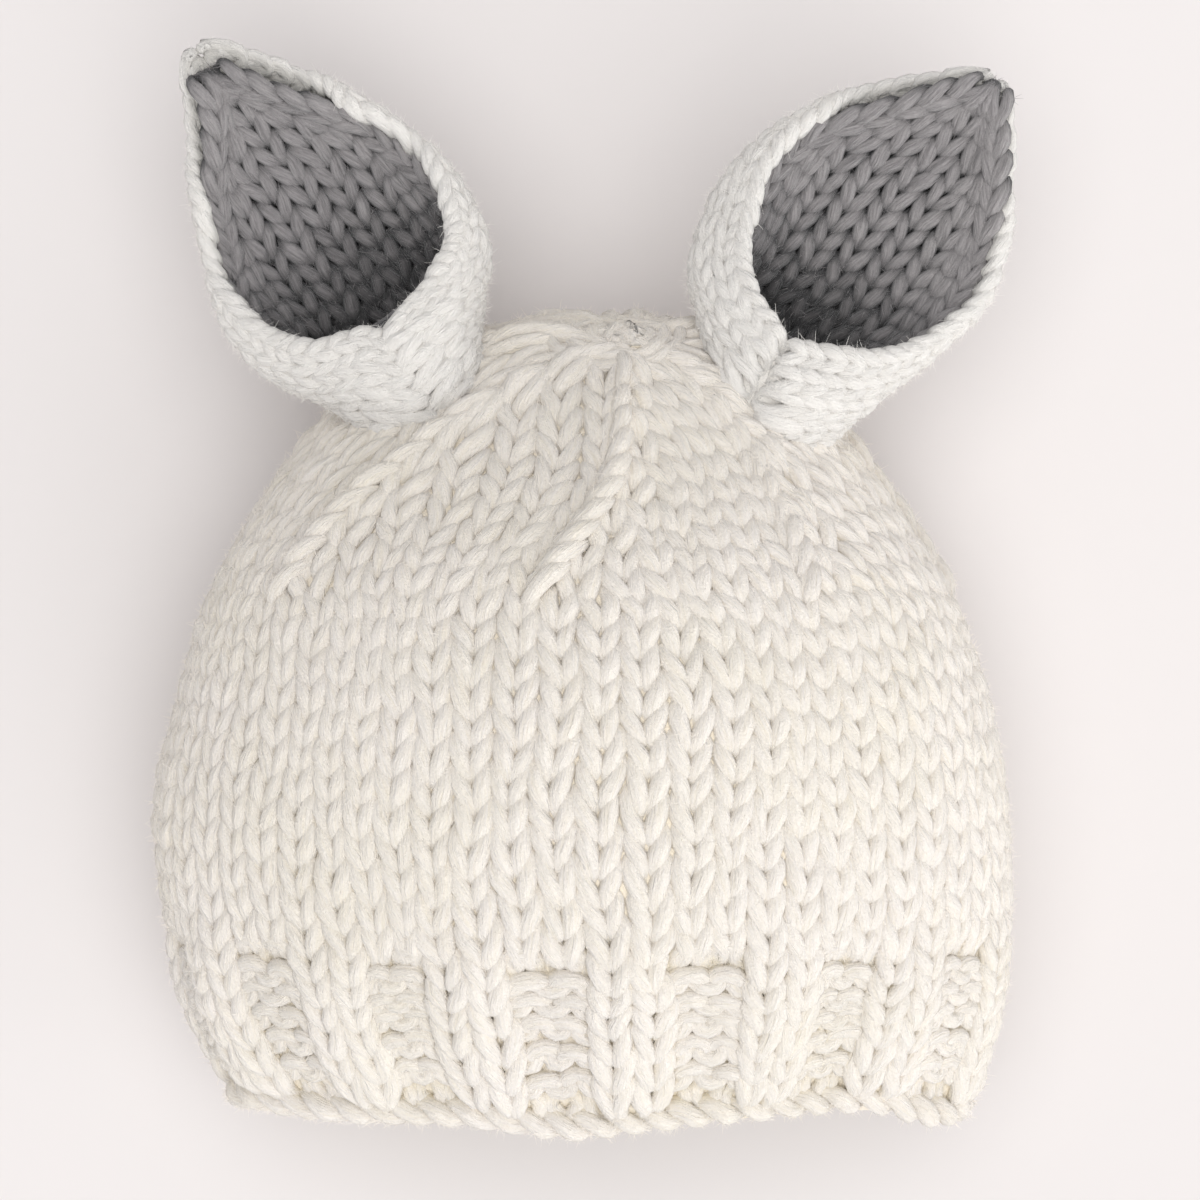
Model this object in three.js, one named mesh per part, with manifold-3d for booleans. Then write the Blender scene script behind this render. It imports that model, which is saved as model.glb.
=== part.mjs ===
// A hand-knitted baby hat with two cupped ears, lying on its back.
// Millimetres. +Z is up from the surface, +Y runs to the crown's tip and +X across the hat.
// The origin is on the surface, in the flat patch that the hat rests on.
import * as THREE from "three";
import { mergeVertices } from "three/addons/utils/BufferGeometryUtils.js";
import Module from "manifold-3d";

// Sizes of the hat
const HAT_WIDTH = 148;
const HAT_LENGTH = 137;
const HAT_HEIGHT = 76;
const EDGE_TO_ORIGIN = 62;
const FABRIC_THICKNESS = 5;
const RIB_RELIEF = 1.3;
const CROWN_RIDGE = 0.8;
const HEM_WAVE = 4;
const EDGE_RADIUS = 3;
const SEAT_GAP = 0.3;
const BAND_SEAM_GAP = 0.7;

// Sizes of an ear
const EAR_LENGTH = 65.5;
const EAR_WIDTH = 50;
const EAR_DEPTH = 25;
const EAR_SHELL_THICKNESS = 3.6;
const EAR_LINING_THICKNESS = 3.4;
const EAR_SEAM_GAP = 0.6;
const EAR_LAYER_GAP = 0.7;

// The knitting: stitches once round, and rows from the rolled edge to the tip
const STITCHES_ROUND = 56;
const RIB_ROWS = 6;
const PLAIN_ROWS = 12;
const CROWN_ROWS = 11;
const CROWN_SECTORS = 7;
const RIB_REPEAT = 4;
const ROWS = RIB_ROWS + PLAIN_ROWS + CROWN_ROWS;

// How finely the solids are faceted
const CROWN_RINGS = 15;
const BAND_RINGS = 4;
const BAND_STEPS_PER_STITCH = 2;
const EDGE_SIDES = 8;
const NECK_STATIONS = 4;
const EAR_STATIONS = 12;
const EAR_STEPS = 14;

// Cross-sections of the body. at is the share of the rows passed since the rolled edge.
// side, top and under are the ring's widest, highest and lowest points: their y as a share of
// HAT_LENGTH from the opening, and their z as a share of HAT_HEIGHT. A z under the surface is
// pressed flat on it. half is the share of half HAT_WIDTH, across the ring's middle in the same
// share, and turn the share of a ring by which stitch 0 lies beside the highest point.
const BODY_COLUMNS = "at half across sideY sideZ topY topZ underY underZ turn".split(" ");
const BODY_SECTIONS = [
  [-0.04, 0.845, 0.04, 0.0, 0.36, 0.002, 0.64, 0.018, 0.075, -0.018],
  [0, 0.885, 0.035, 0.033, 0.36, 0.036, 0.705, 0.048, 0.035, -0.018],
  [0.1, 0.955, 0.021, 0.124, 0.368, 0.12, 0.85, 0.135, 0.0, -0.018],
  [0.207, 0.985, 0.012, 0.226, 0.375, 0.212, 0.93, 0.234, -0.04, -0.018],
  [0.345, 0.999, -0.004, 0.372, 0.382, 0.361, 0.985, 0.387, -0.065, -0.018],
  [0.483, 0.95, 0.0, 0.518, 0.385, 0.51, 1.0, 0.54, -0.065, -0.018],
  [0.621, 0.865, -0.007, 0.652, 0.392, 0.65, 0.955, 0.693, -0.045, -0.018],
  [0.724, 0.735, -0.012, 0.766, 0.41, 0.732, 0.885, 0.81, 0.035, 0.0],
  [0.828, 0.545, 0.0, 0.88, 0.447, 0.812, 0.793, 0.925, 0.171, 0.02],
  [0.931, 0.275, 0.054, 0.972, 0.507, 0.9, 0.684, 1.003, 0.365, 0.015],
  [1, 0, 0.095, 0.968, 0.575, 0.968, 0.575, 0.968, 0.575, 0.01],
];
const UPPER_POWER = 2.0;
const LOWER_POWER = 2.6;

// How far the rolled edge waves towards the opening, as shares of HEM_WAVE at shares of the round
const HEM_COLUMNS = ["at", "drop"];
const HEM_WAVES = [
  [0, 0.9],
  [0.07, 0.45],
  [0.13, 0.1],
  [0.18, 0.0],
  [0.225, 0.55],
  [0.3, 0.2],
  [0.5, 0.4],
  [0.72, 0.1],
  [0.8, 0.0],
  [0.87, 0.35],
  [0.94, 0.45],
];
const HEM_WAVE_FADE = 0.1;

// Where each ear sits: its neck's middle as shares of half HAT_WIDTH, HAT_LENGTH and HAT_HEIGHT,
// and its angle from +Y in degrees, positive towards +X
const EAR_SEATS = {
  left: { x: -0.418, y: 0.931, z: 0.526, splay: -33.3 },
  right: { x: 0.439, y: 0.907, z: 0.526, splay: 35.6 },
};

// Cross-sections of the ears. at is the share of EAR_LENGTH from the neck's middle towards the tip.
// Shares of half EAR_WIDTH: outLeft and outRight are the cup's widest points, mouthLeft and
// mouthRight the rims, and rims that share a value meet. Shares of EAR_DEPTH: lift raises the
// widest line, below is the back's depth under it, and above the rolled rim's height over it.
const EAR_COLUMNS = "at outLeft outRight mouthLeft mouthRight lift below above".split(" ");
const EAR_SECTIONS = {
  left: [
    [-0.21, -0.44, 0.48, 0.0, 0.0, -0.08, 0.42, 0.42],
    [-0.06, -0.5, 0.56, 0.0, 0.0, -0.04, 0.48, 0.48],
    [0.045, -0.62, 0.77, 0.0, 0.0, 0.0, 0.52, 0.5],
    [0.1, -0.73, 0.9, 0.0, 0.0, 0.0, 0.52, 0.48],
    [0.14, -0.78, 0.96, -0.22, 0.42, 0.0, 0.52, 0.47],
    [0.21, -0.85, 1.02, -0.41, 0.7, 0.0, 0.52, 0.44],
    [0.34, -0.88, 1.05, -0.53, 0.78, -0.02, 0.5, 0.38],
    [0.49, -0.76, 0.97, -0.53, 0.7, -0.04, 0.44, 0.34],
    [0.67, -0.57, 0.73, -0.38, 0.43, -0.02, 0.32, 0.27],
    [0.84, -0.32, 0.4, -0.2, 0.24, 0.04, 0.2, 0.18],
    [0.97, -0.12, 0.13, -0.08, 0.09, 0.08, 0.1, 0.1],
  ],
  right: [
    [-0.21, -0.48, 0.48, 0.0, 0.0, -0.08, 0.42, 0.42],
    [-0.06, -0.5, 0.54, 0.0, 0.0, -0.04, 0.48, 0.48],
    [0.045, -0.74, 0.6, 0.0, 0.0, 0.0, 0.52, 0.5],
    [0.1, -0.92, 0.64, -0.13, -0.13, 0.0, 0.52, 0.48],
    [0.15, -0.98, 0.67, -0.38, 0.05, 0.0, 0.52, 0.47],
    [0.21, -1.05, 0.72, -0.55, 0.24, 0.0, 0.52, 0.44],
    [0.34, -1.12, 0.81, -0.76, 0.58, -0.02, 0.5, 0.38],
    [0.49, -1.09, 0.83, -0.82, 0.71, -0.04, 0.44, 0.34],
    [0.67, -0.9, 0.66, -0.64, 0.56, -0.02, 0.32, 0.27],
    [0.84, -0.58, 0.39, -0.3, 0.29, 0.04, 0.2, 0.18],
    [0.97, -0.24, 0.17, -0.12, 0.12, 0.08, 0.1, 0.1],
  ],
};
const THINNEST_SHARE = 0.4;
const LINING_FROM = 0.15;
const LINING_TO = 0.92;
const LINING_RIM = 0.95;

// Finishes, from the photo
const CREAM_WOOL = { color: "#efe9dd", roughness: 0.95, metalness: 0 };
const WHITE_WOOL = { color: "#e6e3df", roughness: 0.95, metalness: 0 };
const GREY_WOOL = { color: "#77726f", roughness: 0.95, metalness: 0 };

const wasm = await Module();
wasm.setup();

// A smooth value between four neighbouring ones, 0 at b and 1 at c
function smooth(a, b, c, d, t) {
  return (
    b +
    0.5 * t * (c - a + t * (2 * a - 5 * b + 4 * c - d + t * (3 * (b - c) + d - a)))
  );
}

// One row of a table, read smoothly at a share of its first column
function read(table, columns, at) {
  const last = table.length - 2;
  let i = 0;
  while (i < last && table[i + 1][0] <= at) i += 1;
  const from = table[i];
  const to = table[i + 1];
  const before = table[Math.max(i - 1, 0)];
  const after = table[Math.min(i + 2, last + 1)];
  const t = (at - from[0]) / (to[0] - from[0]);
  const values = {};
  columns.forEach((name, k) => {
    values[name] = smooth(before[k], from[k], to[k], after[k], t);
  });
  return values;
}

function power(value, exponent) {
  return Math.sign(value) * Math.abs(value) ** exponent;
}

// A point of the body's ring at an angle from the highest point, positive towards +X
function ringPoint(section, angle) {
  const across = Math.sin(angle);
  const up = Math.cos(angle);
  const exponent = 2 / (up < 0 ? LOWER_POWER : UPPER_POWER);
  const share = Math.abs(up) ** exponent;
  const endY = up < 0 ? section.underY : section.topY;
  const endZ = up < 0 ? section.underZ : section.topZ;
  const y = section.sideY + (endY - section.sideY) * share;
  const z = section.sideZ + (endZ - section.sideZ) * share;
  const x = section.across + section.half * power(across, exponent);
  return new THREE.Vector3(
    (x * HAT_WIDTH) / 2,
    y * HAT_LENGTH - EDGE_TO_ORIGIN,
    Math.max(z * HAT_HEIGHT, 0),
  );
}

// The wave of the opening at a share of the round
function hemDrop(round) {
  const wrapped = round - Math.floor(round);
  const first = HEM_WAVES[0];
  const closed = [...HEM_WAVES, [1, first[1]]];
  return HEM_WAVE * read(closed, HEM_COLUMNS, wrapped).drop;
}

// A ring's section, and its length from the highest point to each of its samples
const RING_SAMPLES = 240;
const ringCache = new Map();
function measuredRing(at) {
  if (ringCache.has(at)) return ringCache.get(at);
  const section = read(BODY_SECTIONS, BODY_COLUMNS, at);
  const lengths = [0];
  let last = ringPoint(section, 0);
  for (let i = 1; i <= RING_SAMPLES; i += 1) {
    const next = ringPoint(section, (i / RING_SAMPLES) * 2 * Math.PI);
    lengths.push(lengths[i - 1] + next.distanceTo(last));
    last = next;
  }
  const ring = { section, lengths };
  ringCache.set(at, ring);
  return ring;
}

// The outer face of the body at a share of the rows and a share of the round from stitch 0
function bodyPoint(at, round) {
  const { section, lengths } = measuredRing(at);
  const total = lengths[RING_SAMPLES];
  const turned = round + section.turn;
  const wanted = (turned - Math.floor(turned)) * total;
  let i = 0;
  while (i < RING_SAMPLES - 1 && lengths[i + 1] < wanted) i += 1;
  const step = lengths[i + 1] - lengths[i] || 1;
  const angle = ((i + (wanted - lengths[i]) / step) / RING_SAMPLES) * 2 * Math.PI;
  const point = ringPoint(section, angle);
  const fade = Math.max(0, 1 - Math.max(at, 0) / HEM_WAVE_FADE);
  point.y -= hemDrop(round) * fade;
  return point;
}

// The outward normal of the body's outer face
const NORMAL_STEP = 0.004;
function bodyNormal(at, round) {
  const low = bodyPoint(Math.min(at, 1 - NORMAL_STEP) - NORMAL_STEP, round);
  const high = bodyPoint(Math.min(at + NORMAL_STEP, 1 - NORMAL_STEP / 2), round);
  const left = bodyPoint(Math.min(at, 1 - NORMAL_STEP), round - NORMAL_STEP);
  const right = bodyPoint(Math.min(at, 1 - NORMAL_STEP), round + NORMAL_STEP);
  return right.sub(left).cross(high.sub(low)).normalize();
}

// The outer face's point moved outwards, never through the surface that the hat lies on
function bodyFace(at, round, outwards) {
  const point = bodyPoint(at, round).addScaledVector(bodyNormal(at, round), outwards);
  point.z = Math.max(point.z, 0);
  return point;
}

// A closed mesh from points and faces
class MeshMaker {
  constructor() {
    this.points = [];
    this.faces = [];
  }

  add(point) {
    this.points.push(point.x, point.y, point.z);
    return this.points.length / 3 - 1;
  }

  // A strip of quads between two rows of point numbers, closed round if they loop
  strip(lower, upper, loop) {
    const steps = loop ? lower.length : lower.length - 1;
    for (let i = 0; i < steps; i += 1) {
      const j = (i + 1) % lower.length;
      this.faces.push(lower[i], lower[j], upper[j], lower[i], upper[j], upper[i]);
    }
  }

  fan(row, middle) {
    row.forEach((point, i) => {
      this.faces.push(point, row[(i + 1) % row.length], middle);
    });
  }

  solid() {
    const mesh = new wasm.Mesh({
      numProp: 3,
      vertProperties: new Float32Array(this.points),
      triVerts: new Uint32Array(this.faces),
    });
    const made = new wasm.Manifold(mesh);
    if (made.volume() > 0) return made;
    for (let i = 0; i < this.faces.length; i += 3) {
      [this.faces[i + 1], this.faces[i + 2]] = [this.faces[i + 2], this.faces[i + 1]];
    }
    return this.solid();
  }
}

function shares(count, from, to) {
  return Array.from({ length: count + 1 }, (unused, i) => from + ((to - from) * i) / count);
}

// The crown's decrease lines: low ridges that run between the sectors up to the tip
const RIDGE_START = (RIB_ROWS + PLAIN_ROWS) / ROWS;
const RIDGE_SHARPNESS = 8;
function ridgeHeight(at, round) {
  const risen = THREE.MathUtils.smoothstep(at, RIDGE_START, (RIDGE_START + 1) / 2);
  const line = (1 + Math.cos(round * CROWN_SECTORS * 2 * Math.PI)) / 2;
  return CROWN_RIDGE * risen * line ** RIDGE_SHARPNESS;
}

// The dome from the band to the tip. inside is how far its inner face lies under the outer one,
// and without it the dome is filled. grow moves the outer face outwards.
function dome(from, grow, inside) {
  const maker = new MeshMaker();
  const rounds = Array.from({ length: STITCHES_ROUND }, (unused, i) => i / STITCHES_ROUND);
  const rings = shares(CROWN_RINGS, from, 1).slice(0, -1);
  const skin = (outwards) => {
    const rows = rings.map((at) =>
      rounds.map((round) => maker.add(bodyFace(at, round, outwards + ridgeHeight(at, round)))),
    );
    const tip = maker.add(bodyFace(1, 0, outwards));
    return { rows, tip };
  };
  const outer = skin(grow);
  outer.rows.slice(1).forEach((row, i) => maker.strip(outer.rows[i], row, true));
  maker.fan(outer.rows.at(-1), outer.tip);
  if (!inside) {
    const middle = new THREE.Vector3();
    rounds.forEach((round) => middle.addScaledVector(bodyPoint(from, round), 1 / rounds.length));
    maker.fan([...outer.rows[0]].reverse(), maker.add(middle));
    return maker.solid();
  }
  const inner = skin(-inside);
  inner.rows.slice(1).forEach((row, i) => maker.strip(row, inner.rows[i], true));
  maker.fan([...inner.rows.at(-1)].reverse(), inner.tip);
  maker.strip(inner.rows[0], outer.rows[0], true);
  return maker.solid();
}

// The rib's height over the plain fabric: knit pairs stand out and purl pairs sink in
function ribHeight(round) {
  return -RIB_RELIEF * Math.cos(round * (STITCHES_ROUND / RIB_REPEAT) * 2 * Math.PI);
}

function band(from, to) {
  const maker = new MeshMaker();
  const steps = STITCHES_ROUND * BAND_STEPS_PER_STITCH;
  const rounds = Array.from({ length: steps }, (unused, i) => i / steps);
  const skin = (outwards) =>
    shares(BAND_RINGS, from, to).map((at) =>
      rounds.map((round) => maker.add(bodyFace(at, round, outwards + ribHeight(round)))),
    );
  const outer = skin(0);
  const inner = skin(-FABRIC_THICKNESS);
  outer.slice(1).forEach((row, i) => maker.strip(outer[i], row, true));
  inner.slice(1).forEach((row, i) => maker.strip(row, inner[i], true));
  maker.strip(inner[0], outer[0], true);
  maker.strip(outer.at(-1), inner.at(-1), true);
  return maker.solid();
}

// The rolled edge: a round cord that follows the band's lower end
function rolledEdge(bandStart) {
  const maker = new MeshMaker();
  const rounds = Array.from({ length: STITCHES_ROUND }, (unused, i) => i / STITCHES_ROUND);
  const rows = rounds.map((round) => {
    const normal = bodyNormal(bandStart, round);
    const end = bodyPoint(bandStart, round);
    const along = end.clone().sub(bodyPoint(bandStart + NORMAL_STEP, round)).normalize();
    const middle = end.addScaledVector(normal, -FABRIC_THICKNESS / 2);
    middle.addScaledVector(along, EDGE_RADIUS + SEAT_GAP);
    middle.z = Math.max(middle.z, EDGE_RADIUS);
    return Array.from({ length: EDGE_SIDES }, (unused, i) => {
      const turn = (i / EDGE_SIDES) * 2 * Math.PI;
      const point = middle.clone().addScaledVector(normal, EDGE_RADIUS * Math.cos(turn));
      return maker.add(point.addScaledVector(along, EDGE_RADIUS * Math.sin(turn)));
    });
  });
  rows.forEach((row, i) => maker.strip(row, rows[(i + 1) % rows.length], true));
  return maker.solid();
}

// A point of an ear, inset from its outer face. around runs from -1 at the left rim, under the
// back at 0, to 1 at the right rim.
function earPoint(side, at, around, inset) {
  const seat = EAR_SEATS[side];
  const s = read(EAR_SECTIONS[side], EAR_COLUMNS, at);
  const middle = ((s.outRight + s.outLeft) / 2) * (EAR_WIDTH / 2);
  const half = ((s.outRight - s.outLeft) / 2) * (EAR_WIDTH / 2);
  const below = s.below * EAR_DEPTH;
  const above = s.above * EAR_DEPTH;
  const rimRight = Math.max(s.mouthRight * (EAR_WIDTH / 2) + EAR_SEAM_GAP / 2, middle - half);
  const rimLeft = Math.min(s.mouthLeft * (EAR_WIDTH / 2) - EAR_SEAM_GAP / 2, middle + half);
  const endRight = Math.PI - Math.asin(Math.min((rimRight - middle) / half, 1));
  const endLeft = Math.PI - Math.asin(Math.min((middle - rimLeft) / half, 1));
  const angle = around * (around < 0 ? endLeft : endRight);
  const drawnIn = inset(Math.min(half, below, above));
  const across = middle + (half - drawnIn) * Math.sin(angle);
  const cosine = Math.cos(angle);
  const height = (cosine > 0 ? below : above) - drawnIn;
  const up = s.lift * EAR_DEPTH - height * cosine;
  const splay = THREE.MathUtils.degToRad(seat.splay);
  const out = at * EAR_LENGTH;
  return new THREE.Vector3(
    seat.x * (HAT_WIDTH / 2) + out * Math.sin(splay) + across * Math.cos(splay),
    seat.y * HAT_LENGTH - EDGE_TO_ORIGIN + out * Math.cos(splay) - across * Math.sin(splay),
    seat.z * HAT_HEIGHT + up,
  );
}

// How far each face of the ear's layers lies inside the outer face, where the cup is size wide
function shellInset(size) {
  return Math.min(EAR_SHELL_THICKNESS, THINNEST_SHARE * size);
}
function liningOuterInset(size) {
  return shellInset(size) + Math.min(EAR_LAYER_GAP, THINNEST_SHARE * size);
}
function liningInnerInset(size) {
  const outer = liningOuterInset(size);
  return outer + Math.min(EAR_LINING_THICKNESS, THINNEST_SHARE * (size - outer));
}

// One layer of an ear, between two insets, at the given places along it and around it
function earLayer(side, stations, steps, outerInset, innerInset) {
  const maker = new MeshMaker();
  const skin = (inset) =>
    stations.map((at) => steps.map((around) => maker.add(earPoint(side, at, around, inset))));
  const outer = skin(outerInset);
  const inner = skin(innerInset);
  outer.slice(1).forEach((row, i) => maker.strip(outer[i], row, false));
  inner.slice(1).forEach((row, i) => maker.strip(row, inner[i], false));
  maker.strip(inner[0], outer[0], false);
  maker.strip(outer.at(-1), inner.at(-1), false);
  const edge = (rows, k) => rows.map((row) => row.at(k));
  maker.strip(edge(outer, 0), edge(inner, 0), false);
  maker.strip(edge(inner, -1), edge(outer, -1), false);
  return maker.solid();
}

function meshOf(name, solid, finish) {
  const made = solid.getMesh();
  const geometry = new THREE.BufferGeometry();
  geometry.setAttribute("position", new THREE.BufferAttribute(made.vertProperties, 3));
  geometry.setIndex(new THREE.BufferAttribute(made.triVerts, 1));
  const merged = mergeVertices(geometry);
  merged.computeVertexNormals();
  const mesh = new THREE.Mesh(merged, new THREE.MeshStandardMaterial(finish));
  mesh.name = name;
  return mesh;
}

const noInset = () => 0;
const bandEnd = RIB_ROWS / ROWS;
const crownStart = bandEnd + BAND_SEAM_GAP / HAT_LENGTH;

const hat = new THREE.Group();
hat.add(meshOf("crown", dome(crownStart, 0, FABRIC_THICKNESS), CREAM_WOOL));
hat.add(meshOf("rib_band", band(0, bandEnd), CREAM_WOOL));
hat.add(meshOf("cast_on_edge", rolledEdge(0), CREAM_WOOL));

// What the ears must stay clear of: the crown filled and grown by the seat gap
const seatForm = dome(bandEnd, SEAT_GAP, 0);

// The lining shares the shell's places, so that their faces run side by side
const liningSteps = shares(EAR_STEPS, -LINING_RIM, LINING_RIM);
const shellSteps = [-1, ...liningSteps, 1];
for (const side of Object.keys(EAR_SEATS)) {
  const start = EAR_SECTIONS[side][0][0];
  const end = EAR_SECTIONS[side].at(-1)[0];
  const neck = shares(NECK_STATIONS, start, LINING_FROM).slice(0, -1);
  const liningStations = shares(EAR_STATIONS, LINING_FROM, LINING_TO);
  const shellStations = [...neck, ...liningStations, end];
  const shell = earLayer(side, shellStations, shellSteps, noInset, shellInset);
  const lining = earLayer(side, liningStations, liningSteps, liningOuterInset, liningInnerInset);
  hat.add(meshOf(`ear_${side}_shell`, shell.subtract(seatForm), WHITE_WOOL));
  hat.add(meshOf(`ear_${side}_lining`, lining.subtract(seatForm), GREY_WOOL));
}

export default hat;
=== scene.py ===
"""A hand-knitted baby hat with two cupped ears, lying on its back on a pale surface.

The fabric is made loop by loop: each row of stitches is a strand of yarn that follows the path of
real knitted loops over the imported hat's faces. Sizes are in millimetres until a mesh is made.
"""

import math

import bpy
import numpy as np
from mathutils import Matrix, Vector
from mathutils.bvhtree import BVHTree


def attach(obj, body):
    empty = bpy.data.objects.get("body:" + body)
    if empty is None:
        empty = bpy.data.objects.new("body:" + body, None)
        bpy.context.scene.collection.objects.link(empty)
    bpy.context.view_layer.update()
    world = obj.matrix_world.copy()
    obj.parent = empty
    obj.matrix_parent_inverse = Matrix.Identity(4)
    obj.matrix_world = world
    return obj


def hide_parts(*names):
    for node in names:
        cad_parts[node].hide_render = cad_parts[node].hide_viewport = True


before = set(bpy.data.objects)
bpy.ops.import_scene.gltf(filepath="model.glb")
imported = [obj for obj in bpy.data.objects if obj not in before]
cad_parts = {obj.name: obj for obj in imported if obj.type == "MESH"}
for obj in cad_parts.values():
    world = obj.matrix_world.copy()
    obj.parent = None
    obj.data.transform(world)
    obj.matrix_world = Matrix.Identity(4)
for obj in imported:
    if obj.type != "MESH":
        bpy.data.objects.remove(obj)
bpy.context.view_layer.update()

MM = 0.001
TURN = 2 * math.pi
chance = np.random.default_rng(11)

# Sizes of the hat
HAT_WIDTH = 148
HAT_LENGTH = 137
HAT_HEIGHT = 76
EDGE_TO_ORIGIN = 62
FABRIC_THICKNESS = 5
RIB_RELIEF = 1.0
CROWN_RIDGE = 0.8
HEM_WAVE = 4
HEM_WAVE_FADE = 0.1
ROPE_CENTRE = 3.3

# Sizes of an ear
EAR_LENGTH = 65.5
EAR_WIDTH = 50
EAR_DEPTH = 25
EAR_SEAM_OVERLAP = 0.8

# The knitting
STITCHES = 56
RIB_ROWS = 6
PLAIN_ROWS = 12
SECTORS = 7
CROWN_COUNTS = [7, 7, 6, 6, 5, 5, 4, 4, 3, 2, 1]
ROWS = RIB_ROWS + PLAIN_ROWS + len(CROWN_COUNTS)
RIB_REPEAT = 4

# Where the body's face is measured, as shares of its rows and of its round
FIRST_SHARE = -0.04
ROW_SHARES = np.linspace(FIRST_SHARE, 1, 313)
ROUND_SHARES = np.linspace(0, 1, STITCHES * 10 + 1)
RING_POINTS = 721

# Cross-sections of the body, against the share of the rows since the rolled edge: half, across,
# sideY, sideZ, topY, topZ, underY, underZ and turn
BODY_SECTIONS = [
    [-0.04, 0.845, 0.04, 0.0, 0.36, 0.002, 0.64, 0.018, 0.075, -0.018],
    [0, 0.885, 0.035, 0.033, 0.36, 0.036, 0.705, 0.048, 0.035, -0.018],
    [0.1, 0.955, 0.021, 0.124, 0.368, 0.12, 0.85, 0.135, 0.0, -0.018],
    [0.207, 0.985, 0.012, 0.226, 0.375, 0.212, 0.93, 0.234, -0.04, -0.018],
    [0.345, 0.999, -0.004, 0.372, 0.382, 0.361, 0.985, 0.387, -0.065, -0.018],
    [0.483, 0.95, 0.0, 0.518, 0.385, 0.51, 1.0, 0.54, -0.065, -0.018],
    [0.621, 0.865, -0.007, 0.652, 0.392, 0.65, 0.955, 0.693, -0.045, -0.018],
    [0.724, 0.735, -0.012, 0.766, 0.41, 0.732, 0.885, 0.81, 0.035, 0.0],
    [0.828, 0.545, 0.0, 0.88, 0.447, 0.812, 0.793, 0.925, 0.171, 0.02],
    [0.931, 0.275, 0.054, 0.972, 0.507, 0.9, 0.684, 1.003, 0.365, 0.015],
    [1, 0, 0.095, 0.968, 0.575, 0.968, 0.575, 0.968, 0.575, 0.01],
]
# Powers of the cross-sections' curves: 2 is an ellipse, and more is squarer
UPPER_POWER = 2.0
LOWER_POWER = 2.6

# How far the rolled edge waves towards the opening, against the share of the round
HEM_WAVES = [
    [0, 0.9], [0.07, 0.45], [0.13, 0.1], [0.18, 0.0], [0.225, 0.55],
    [0.3, 0.2], [0.5, 0.4], [0.72, 0.1], [0.8, 0.0], [0.87, 0.35],
    [0.94, 0.45], [1, 0.9],
]

# Each ear's seat as shares of half the width, the length and the height, and its angle from +Y
EAR_SEATS = {
    "left": (-0.418, 0.931, 0.526, -33.3),
    "right": (0.439, 0.907, 0.526, 35.6),
}
# Cross-sections of the ears, against the share of the ear's length: its left and right sides as
# shares of half its width, and its lift and depths below and above as shares of its depth
EAR_SECTIONS = {
    "left": [
        [-0.21, -0.44, 0.48, -0.08, 0.42, 0.42], [-0.06, -0.5, 0.56, -0.04, 0.48, 0.48],
        [0.045, -0.62, 0.77, 0.0, 0.52, 0.5], [0.1, -0.73, 0.9, 0.0, 0.52, 0.48],
        [0.14, -0.78, 0.96, 0.0, 0.52, 0.47], [0.21, -0.85, 1.02, 0.0, 0.52, 0.44],
        [0.34, -0.88, 1.05, -0.02, 0.5, 0.38], [0.49, -0.76, 0.97, -0.04, 0.44, 0.34],
        [0.67, -0.58, 0.77, -0.02, 0.32, 0.27], [0.84, -0.36, 0.51, 0.04, 0.2, 0.18],
        [0.97, -0.2, 0.26, 0.08, 0.1, 0.1], [1.02, -0.1, 0.12, 0.1, 0.08, 0.08],
    ],
    "right": [
        [-0.21, -0.48, 0.48, -0.08, 0.42, 0.42], [-0.06, -0.5, 0.54, -0.04, 0.48, 0.48],
        [0.045, -0.74, 0.6, 0.0, 0.52, 0.5], [0.1, -0.92, 0.64, 0.0, 0.52, 0.48],
        [0.15, -0.98, 0.67, 0.0, 0.52, 0.47], [0.21, -1.05, 0.72, 0.0, 0.52, 0.44],
        [0.34, -1.12, 0.81, -0.02, 0.5, 0.38], [0.49, -1.09, 0.87, -0.04, 0.44, 0.34],
        [0.67, -0.9, 0.74, -0.02, 0.32, 0.27], [0.84, -0.59, 0.49, 0.04, 0.2, 0.18],
        [0.97, -0.26, 0.26, 0.08, 0.1, 0.1], [1.02, -0.12, 0.14, 0.1, 0.08, 0.08],
    ],
}


def read(table, at):
    """The table's other columns, read smoothly at values of its first one."""
    rows = np.array(table, float)
    at = np.asarray(at, float)
    i = np.clip(np.searchsorted(rows[:, 0], at, side="right") - 1, 0, len(rows) - 2)
    a, b = rows[np.maximum(i - 1, 0)], rows[i]
    c, d = rows[i + 1], rows[np.minimum(i + 2, len(rows) - 1)]
    t = ((at - b[..., 0]) / (c[..., 0] - b[..., 0]))[..., None]
    smooth = b + 0.5 * t * (c - a + t * (2 * a - 5 * b + 4 * c - d + t * (3 * (b - c) + d - a)))
    return np.moveaxis(smooth[..., 1:], -1, 0)


def unit(vectors):
    return vectors / np.maximum(np.linalg.norm(vectors, axis=-1, keepdims=True), 1e-9)


def ease(x, low, high):
    """0 up to low, 1 from high, and smooth between them."""
    t = np.clip((x - low) / (high - low), 0, 1)
    return t * t * (3 - 2 * t)


def face_normals(points, closed, outwards=1):
    """The outward normals of a grid of points, which meets itself at its sides if it is closed."""
    across = np.gradient(points, axis=1)
    if closed:
        across[:, 0] = across[:, -1] = points[:, 1] - points[:, -2]
    normals = outwards * unit(np.cross(across, np.gradient(points, axis=0)))
    normals[-1] = normals[-2]
    return normals


def grid_quads(tall, wide):
    """The corners of the quads between a grid's points."""
    numbers = np.arange(tall * wide).reshape(tall, wide)
    quads = [numbers[:-1, :-1], numbers[:-1, 1:], numbers[1:, 1:], numbers[1:, :-1]]
    return np.stack(quads, -1).reshape(-1, 4)


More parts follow.
